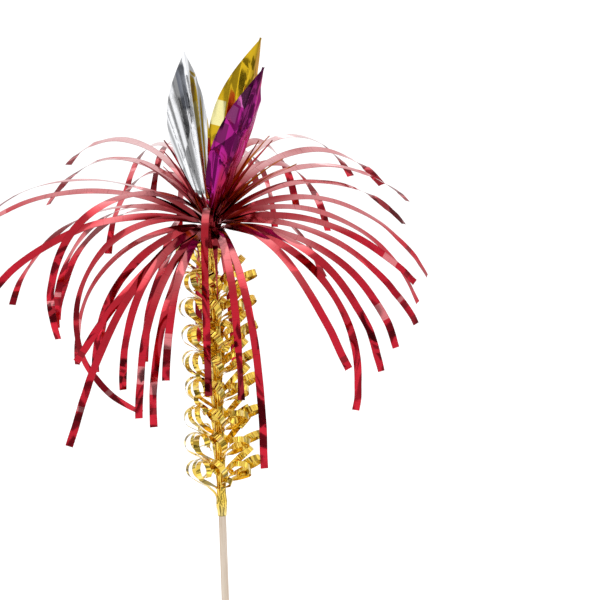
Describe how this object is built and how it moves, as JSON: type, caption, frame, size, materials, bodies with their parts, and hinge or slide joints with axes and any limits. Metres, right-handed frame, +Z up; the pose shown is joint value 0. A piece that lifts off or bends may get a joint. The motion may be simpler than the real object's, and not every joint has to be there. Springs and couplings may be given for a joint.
{
  "type": "palm tree pick",
  "caption": "Pointed birch stick with a curled gold film trunk, a crown of long red film fronds and folded film leaves, to stand in a cake, fruit or drink.",
  "frame": {"origin": "the point of the stick, on the stick's axis", "axes": "+Z up along the stick towards the crown; -Y is the front, the side the picture shows; +X to the right seen from the front"},
  "size_m": [0.1566, 0.125, 0.23],
  "materials": {
    "birch": "pale birch, sanded, unvarnished",
    "gold_film": "metallised plastic film, bright gold, slightly creased",
    "red_film": "metallised plastic film, bright red, slightly creased",
    "silver_film": "metallised plastic film, bright silver, folded along its middle",
    "magenta_film": "metallised plastic film, bright magenta, folded along its middle",
    "clear_tape": "clear adhesive tape, one turn"
  },
  "bodies": {
    "root": {"wooden_stick": "birch", "trunk_fringe": "gold_film", "lower_frond_strip": "red_film", "middle_frond_strip": "red_film", "upper_frond_strip": "red_film", "leaf_tape": "clear_tape", "silver_leaf": "silver_film", "gold_leaf": "gold_film", "magenta_leaf": "magenta_film"}
  },
  "joints": []
}
